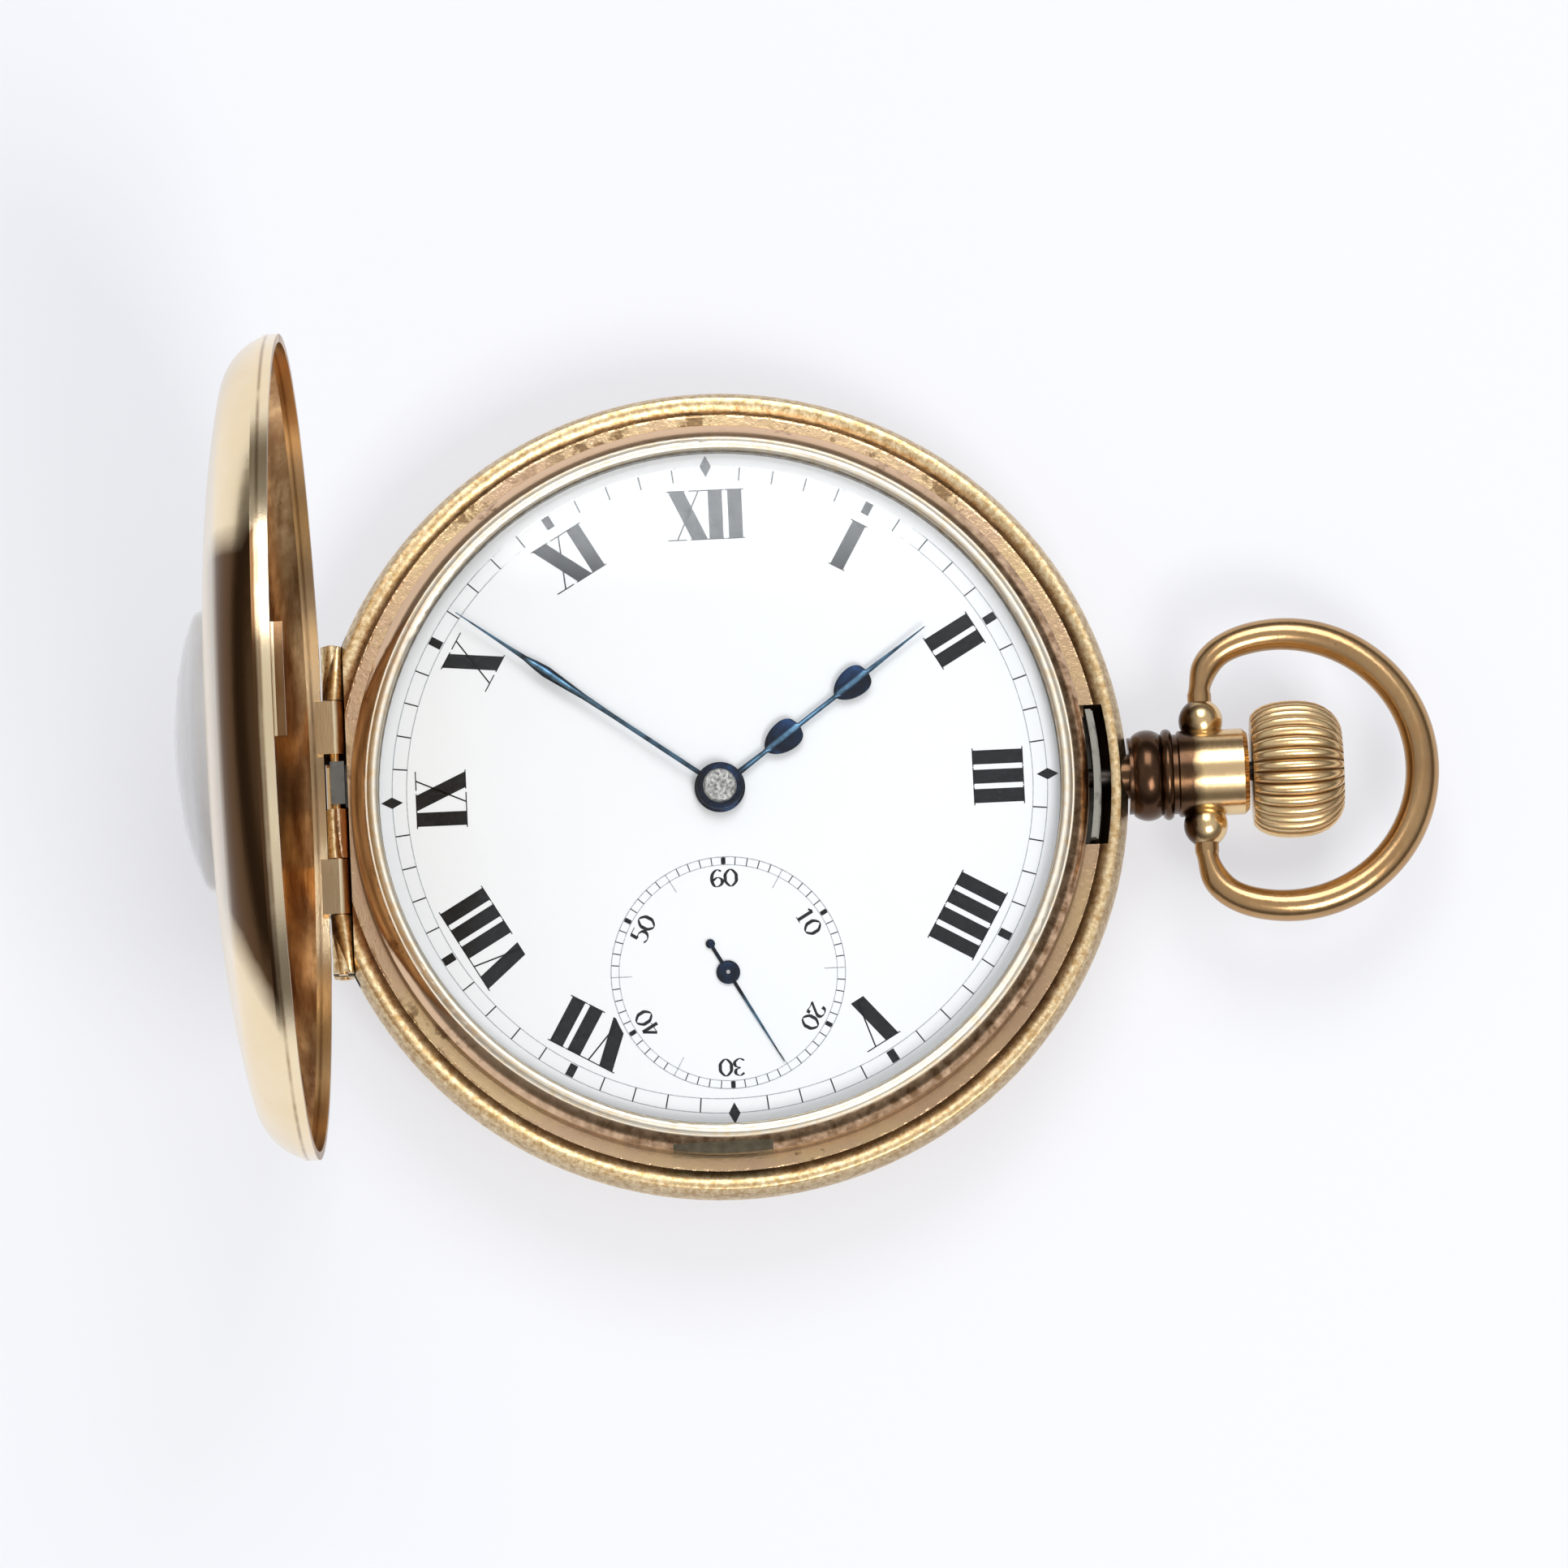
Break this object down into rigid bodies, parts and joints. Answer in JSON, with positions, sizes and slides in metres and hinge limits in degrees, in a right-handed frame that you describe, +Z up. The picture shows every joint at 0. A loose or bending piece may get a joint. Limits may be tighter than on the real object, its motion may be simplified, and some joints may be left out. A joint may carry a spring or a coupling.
{
  "type": "half hunter pocket watch",
  "caption": "Half hunter pocket watch with its windowed front cover open over a white enamel dial, with a working case, winding work, train and hands.",
  "frame": {"origin": "on the dial axis, in the plane of the back cover's flat on which the watch rests", "axes": "+Z up out of the dial, +X to the crown and bow at three o'clock, +Y to twelve o'clock, the open front cover at -X"},
  "size_m": [0.077, 0.051, 0.056],
  "materials": {
    "gold": "polished yellow gold",
    "gold_inside": "polished gold, worn inside",
    "gilt": "frosted gilt",
    "brass": "satin",
    "nickel": "striped nickel",
    "steel": "polished",
    "blued_steel": "blued",
    "enamel": "fired white enamel",
    "crystal_glass": "polished",
    "ruby": "polished"
  },
  "bodies": {
    "case": {"case_middle": "gold", "bezel": "gold", "crystal": "crystal_glass", "front_hinge_pin": "gold", "back_hinge_pin": "gold", "pendant": "gold", "pendant_sleeve": "steel", "lift_spring": "steel", "main_plate": "nickel", "barrel_bridge": "nickel", "train_bridge": "nickel", "balance_cock": "nickel", "pallet_cock": "nickel", "regulator": "steel", "jewels": "ruby", "dial": "enamel", "movement_screws": "steel", "spring_screws": "steel", "click_spring": "steel"},
    "front_cover": {"front_lid": "gold", "lid_window_glass": "crystal_glass", "lid_window_ring": "gold"},
    "back_cover": {"back_cover": "gold"},
    "inner_cover": {"inner_cover": "gold_inside"},
    "bow": {"bow": "gold"},
    "stem_detent": {"stem_detent": "steel"},
    "crown": {"crown": "gold", "winding_stem": "steel"},
    "clutch": {"sliding_clutch": "steel"},
    "winding_pinion": {"winding_pinion": "steel"},
    "crown_wheel": {"crown_wheel": "steel"},
    "ratchet": {"ratchet_wheel": "steel", "barrel_arbor": "steel"},
    "click": {"click": "steel"},
    "setting_lever": {"setting_lever": "steel"},
    "yoke": {"yoke": "steel"},
    "lock_spring": {"lock_spring": "steel"},
    "seconds": {"fourth_wheel": "brass", "fourth_pinion": "steel", "seconds_hand": "blued_steel"},
    "escape": {"escape_wheel": "steel", "escape_pinion": "steel"},
    "third": {"third_wheel": "brass", "third_pinion": "steel"},
    "centre": {"centre_wheel": "brass", "centre_pinion": "steel"},
    "barrel": {"mainspring_barrel": "brass", "barrel_cover": "brass", "mainspring": "steel"},
    "minutes": {"cannon_pinion": "steel", "minute_hand": "blued_steel"},
    "minute_wheel": {"minute_wheel": "brass"},
    "hours": {"hour_wheel": "brass", "hour_hand": "blued_steel"},
    "setting_wheel": {"setting_wheel": "steel"},
    "lever": {"pallet_fork": "steel", "pallet_stones": "ruby"},
    "balance": {"balance_wheel": "gilt", "balance_staff": "steel", "hairspring": "blued_steel"}
  },
  "joints": [
    {"name": "lid_hinge", "type": "hinge", "parent": "case", "child": "front_cover", "pos_m": [-0.0239, 0, 0.00715], "axis": [0, 1, 0], "range_deg": [0, 91.7], "stiffness_Nm_per_rad": 0.002},
    {"name": "back_cover_hinge", "type": "hinge", "parent": "case", "child": "back_cover", "pos_m": [-0.0239, 0, 0.00495], "axis": [0, 1, 0], "range_deg": [0, 92]},
    {"name": "inner_cover_hinge", "type": "hinge", "parent": "case", "child": "inner_cover", "pos_m": [-0.0239, 0, 0.00495], "axis": [0, 1, 0], "range_deg": [0, 83]},
    {"name": "bow_swing", "type": "hinge", "parent": "case", "child": "bow", "pos_m": [0.0302, 0, 0.00635], "axis": [0, 1, 0], "range_deg": [-90, 90]},
    {"name": "crown_pull", "type": "slide", "parent": "case", "child": "stem_detent", "axis": [1, 0, 0], "range_m": [-0.0002, 0.001]},
    {"name": "crown_turn", "type": "hinge", "parent": "stem_detent", "child": "crown", "pos_m": [0.0302, 0, 0.00635], "axis": [1, 0, 0], "continuous": true},
    {"name": "clutch_slide", "type": "slide", "parent": "crown", "child": "clutch", "axis": [1, 0, 0], "range_m": [-0.0014, 0.00028]},
    {"name": "winding_pinion_turn", "type": "hinge", "parent": "case", "child": "winding_pinion", "pos_m": [0.0136, 0, 0.00635], "axis": [1, 0, 0], "continuous": true},
    {"name": "crown_wheel_turn", "type": "hinge", "parent": "case", "child": "crown_wheel", "pos_m": [0.0089, 0, 0.0029], "axis": [0, 0, 1], "continuous": true},
    {"name": "ratchet_turn", "type": "hinge", "parent": "case", "child": "ratchet", "pos_m": [-0.00097, 0.00945, 0.00275], "axis": [0, 0, 1], "continuous": true},
    {"name": "click_lift", "type": "hinge", "parent": "case", "child": "click", "pos_m": [-0.01093, 0.00583, 0.00275], "axis": [0, 0, 1], "range_deg": [0, 3], "stiffness_Nm_per_rad": 0.0001},
    {"name": "setting_lever_turn", "type": "hinge", "parent": "case", "child": "setting_lever", "pos_m": [0.0166, 0.0034, 0.0077], "axis": [0, 0, 1], "range_deg": [-0.9, 4.1]},
    {"name": "yoke_turn", "type": "hinge", "parent": "case", "child": "yoke", "pos_m": [0.0096, -0.0046, 0.0077], "axis": [0, 0, 1], "range_deg": [-0.9, 4.1]},
    {"name": "lock_spring_press", "type": "slide", "parent": "case", "child": "lock_spring", "axis": [1, 0, 0], "range_m": [-0.00015, 0], "stiffness_N_per_m": 50},
    {"name": "seconds_turn", "type": "hinge", "parent": "case", "child": "seconds", "pos_m": [0, -0.0116, 0.00585], "axis": [0, 0, 1], "continuous": true},
    {"name": "escape_wheel_turn", "type": "hinge", "parent": "case", "child": "escape", "pos_m": [0.0031, -0.01565, 0.0054], "axis": [0, 0, 1], "continuous": true},
    {"name": "third_wheel_turn", "type": "hinge", "parent": "case", "child": "third", "pos_m": [-0.00197, -0.00598, 0.00505], "axis": [0, 0, 1], "continuous": true},
    {"name": "centre_wheel_turn", "type": "hinge", "parent": "case", "child": "centre", "pos_m": [0, 0, 0.006], "axis": [0, 0, 1], "continuous": true},
    {"name": "barrel_turn", "type": "hinge", "parent": "case", "child": "barrel", "pos_m": [-0.00097, 0.00945, 0.0049], "axis": [0, 0, 1], "continuous": true},
    {"name": "minutes_turn", "type": "hinge", "parent": "case", "child": "minutes", "pos_m": [0, 0, 0.00975], "axis": [0, 0, 1], "continuous": true},
    {"name": "minute_wheel_turn", "type": "hinge", "parent": "case", "child": "minute_wheel", "pos_m": [0.0036, 0, 0.0077], "axis": [0, 0, 1], "continuous": true},
    {"name": "hours_turn", "type": "hinge", "parent": "case", "child": "hours", "pos_m": [0, 0, 0.0094], "axis": [0, 0, 1], "continuous": true},
    {"name": "setting_wheel_turn", "type": "hinge", "parent": "case", "child": "setting_wheel", "pos_m": [0.0078, 0, 0.0077], "axis": [0, 0, 1], "continuous": true},
    {"name": "lever_swing", "type": "hinge", "parent": "case", "child": "lever", "pos_m": [0.00548, -0.0133, 0.0054], "axis": [0, 0, 1], "range_deg": [-3, 3]},
    {"name": "balance_swing", "type": "hinge", "parent": "case", "child": "balance", "pos_m": [0.008, -0.0108, 0.00435], "axis": [0, 0, 1], "range_deg": [-110, 110], "stiffness_Nm_per_rad": 0.0000005}
  ],
  "couplings": [
    {"joint": "inner_cover_hinge", "follows": "back_cover_hinge", "ratio": 0.9},
    {"joint": "clutch_slide", "follows": "crown_pull", "ratio": -1.4},
    {"joint": "setting_lever_turn", "follows": "crown_pull", "rad_per_m": 70},
    {"joint": "yoke_turn", "follows": "crown_pull", "rad_per_m": 70},
    {"joint": "winding_pinion_turn", "follows": "crown_turn", "ratio": 1},
    {"joint": "crown_wheel_turn", "follows": "crown_turn", "ratio": 0.33333},
    {"joint": "ratchet_turn", "follows": "crown_turn", "ratio": -0.19231},
    {"joint": "escape_wheel_turn", "follows": "seconds_turn", "ratio": -10},
    {"joint": "third_wheel_turn", "follows": "seconds_turn", "ratio": -0.13333},
    {"joint": "centre_wheel_turn", "follows": "seconds_turn", "ratio": 0.016667},
    {"joint": "barrel_turn", "follows": "seconds_turn", "ratio": -0.0027778},
    {"joint": "minutes_turn", "follows": "seconds_turn", "ratio": 0.016667},
    {"joint": "minute_wheel_turn", "follows": "seconds_turn", "ratio": -0.0055556},
    {"joint": "hours_turn", "follows": "seconds_turn", "ratio": 0.0013889},
    {"joint": "setting_wheel_turn", "follows": "seconds_turn", "ratio": 0.01}
  ]
}
